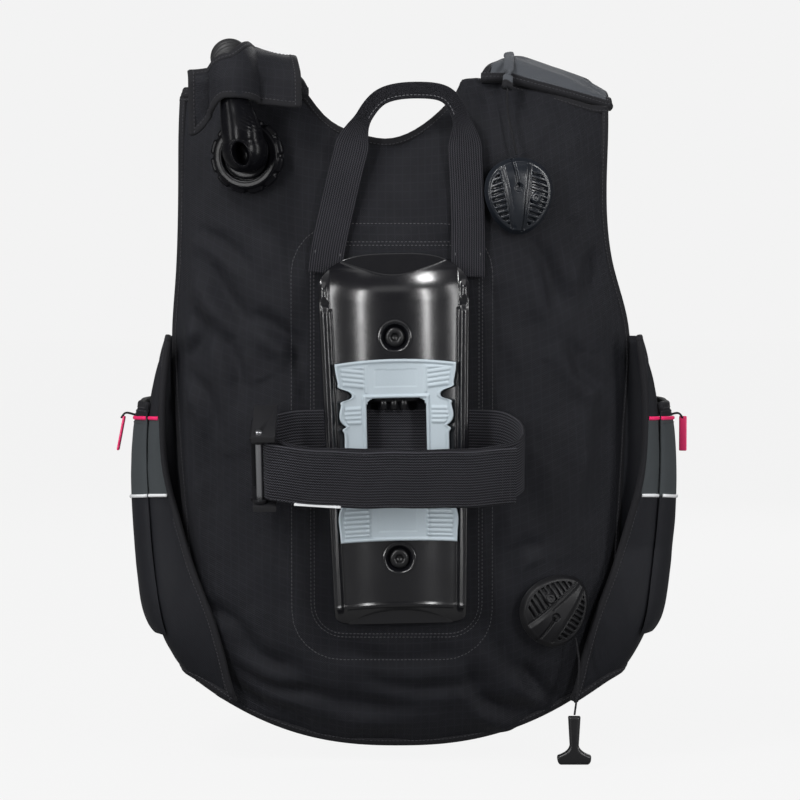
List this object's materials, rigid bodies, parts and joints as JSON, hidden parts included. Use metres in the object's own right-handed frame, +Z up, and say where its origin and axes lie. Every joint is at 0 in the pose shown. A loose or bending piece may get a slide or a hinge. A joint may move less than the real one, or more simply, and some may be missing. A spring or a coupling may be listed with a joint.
{
  "type": "buoyancy compensator vest",
  "caption": "Jacket-style diving buoyancy vest: padded air cell with side lobes and pockets, tank plate with grip pad, tank band with cam buckle, inflator hose and dump valves.",
  "frame": {"origin": "the flat face that rests on the wearer's back, level with the middle of the tank plate", "axes": "+Z up along the wearer's spine, +Y towards the wearer's front, +X to the wearer's right"},
  "size_m": [0.523, 0.3878, 0.649],
  "materials": {
    "air_cell_fabric": "fine woven nylon, slight sheen",
    "pad_fabric": "matt mesh padding",
    "pocket_fabric": "coated grey and black fabric with coloured piping",
    "webbing": "ribbed polypropylene webbing",
    "cord": "braided cord",
    "gloss_plastic": "polished moulding",
    "matt_plastic": "satin moulding",
    "black_rubber": "moulded rubber",
    "grip_rubber": "soft grey rubber with ribs",
    "pink_pull": "soft moulded pull",
    "steel": "stainless"
  },
  "bodies": {
    "vest": {"back_air_cell": "air_cell_fabric", "back_pad": "pad_fabric", "hose_cover_flap": "air_cell_fabric", "left_shoulder_yoke": "air_cell_fabric", "right_shoulder_yoke": "air_cell_fabric", "left_side_lobe": "air_cell_fabric", "right_side_lobe": "air_cell_fabric", "left_hip_pocket": "pocket_fabric", "right_hip_pocket": "pocket_fabric", "left_cummerbund": "pad_fabric", "right_cummerbund": "pad_fabric", "carry_handle": "webbing", "tank_band": "webbing", "left_shoulder_strap": "webbing", "right_shoulder_strap": "webbing", "right_chest_strap": "webbing", "right_waist_strap": "webbing", "hose_keeper": "webbing", "tank_plate": "gloss_plastic", "inflator_elbow": "gloss_plastic", "upper_dump_cover": "gloss_plastic", "elbow_flange": "matt_plastic", "inflator_body": "matt_plastic", "upper_dump_base": "matt_plastic", "lower_dump_base": "matt_plastic", "lower_dump_cover": "matt_plastic", "cam_buckle_frame": "matt_plastic", "chest_buckle_socket": "matt_plastic", "waist_buckle_socket": "matt_plastic", "left_shoulder_buckle": "matt_plastic", "right_shoulder_buckle": "matt_plastic", "elbow_gasket": "black_rubber", "corrugated_hose": "black_rubber", "inflator_mouthpiece": "black_rubber", "upper_dump_cord": "cord", "lower_dump_cord": "cord", "plate_screw_upper": "steel", "plate_screw_lower": "steel", "plate_nut_upper": "steel", "plate_nut_lower": "steel", "cam_buckle_pin": "steel", "upper_dump_spring": "steel", "lower_dump_spring": "steel", "tank_grip_pad": "grip_rubber"},
    "buckle_lever": {"cam_buckle_lever": "matt_plastic"},
    "lock_ring": {"elbow_lock_ring": "matt_plastic"},
    "upper_poppet": {"upper_dump_poppet": "black_rubber"},
    "upper_knob": {"upper_dump_knob": "black_rubber"},
    "lower_poppet": {"lower_dump_poppet": "black_rubber"},
    "lower_toggle": {"lower_dump_toggle": "black_rubber"},
    "inflate_button": {"inflate_button": "gloss_plastic"},
    "deflate_button": {"deflate_button": "gloss_plastic"},
    "chest_plug": {"chest_buckle_plug": "matt_plastic", "left_chest_strap": "webbing"},
    "waist_plug": {"waist_buckle_plug": "matt_plastic", "left_waist_strap": "webbing"},
    "left_zip_pull": {"left_zip_pull": "pink_pull"},
    "right_zip_pull": {"right_zip_pull": "pink_pull"},
    "left_d_ring": {"left_d_ring": "steel"},
    "right_d_ring": {"right_d_ring": "steel"}
  },
  "joints": [
    {"name": "cam_lever_swing", "type": "hinge", "parent": "vest", "child": "buckle_lever", "pos_m": [-0.118, -0.10825, -0.0216], "axis": [0, -0.3907, 0.9205], "range_deg": [0, 150]},
    {"name": "lock_ring_turn", "type": "hinge", "parent": "vest", "child": "lock_ring", "pos_m": [-0.129, -0.04052, 0.249], "axis": [-0.2419, -0.9703, 0], "range_deg": [0, 60]},
    {"name": "upper_knob_pull", "type": "slide", "parent": "vest", "child": "upper_knob", "axis": [0, 0, -1], "range_m": [0, 0.015], "stiffness_N_per_m": 200, "springref_m": -0.005},
    {"name": "upper_poppet_lift", "type": "slide", "parent": "vest", "child": "upper_poppet", "axis": [0.1478, -0.989, 0], "range_m": [0, 0.005], "deforming": ["upper_dump_spring"]},
    {"name": "lower_toggle_pull", "type": "slide", "parent": "vest", "child": "lower_toggle", "axis": [0, 0, -1], "range_m": [0, 0.015], "stiffness_N_per_m": 200, "springref_m": -0.005},
    {"name": "lower_poppet_lift", "type": "slide", "parent": "vest", "child": "lower_poppet", "axis": [0.2756, -0.9613, 0], "range_m": [0, 0.005], "deforming": ["lower_dump_spring"]},
    {"name": "inflate_press", "type": "slide", "parent": "vest", "child": "inflate_button", "axis": [0, -0.9903, -0.1392], "range_m": [0, 0.003], "stiffness_N_per_m": 800, "springref_m": -0.001},
    {"name": "deflate_press", "type": "slide", "parent": "vest", "child": "deflate_button", "axis": [0, -0.1392, 0.9903], "range_m": [0, 0.003], "stiffness_N_per_m": 800, "springref_m": -0.001},
    {"name": "chest_release", "type": "slide", "parent": "vest", "child": "chest_plug", "axis": [-1, 0, 0], "range_m": [0, 0.025]},
    {"name": "waist_release", "type": "slide", "parent": "vest", "child": "waist_plug", "axis": [-1, 0, 0], "range_m": [0, 0.035]},
    {"name": "left_zip_pull_swing", "type": "hinge", "parent": "vest", "child": "left_zip_pull", "pos_m": [-0.25, 0.062, 0.015], "axis": [0, 1, 0], "range_deg": [0, 90]},
    {"name": "right_zip_pull_swing", "type": "hinge", "parent": "vest", "child": "right_zip_pull", "pos_m": [0.262, 0.062, 0.015], "axis": [0, -1, 0], "range_deg": [0, 90]},
    {"name": "left_d_ring_swing", "type": "hinge", "parent": "vest", "child": "left_d_ring", "pos_m": [-0.104, 0.177, 0.246], "axis": [1, 0, 0], "range_deg": [0, 80]},
    {"name": "right_d_ring_swing", "type": "hinge", "parent": "vest", "child": "right_d_ring", "pos_m": [0.128, 0.177, 0.246], "axis": [1, 0, 0], "range_deg": [0, 80]}
  ],
  "couplings": [
    {"joint": "upper_poppet_lift", "follows": "upper_knob_pull", "ratio": 0.33333},
    {"joint": "lower_poppet_lift", "follows": "lower_toggle_pull", "ratio": 0.33333}
  ]
}
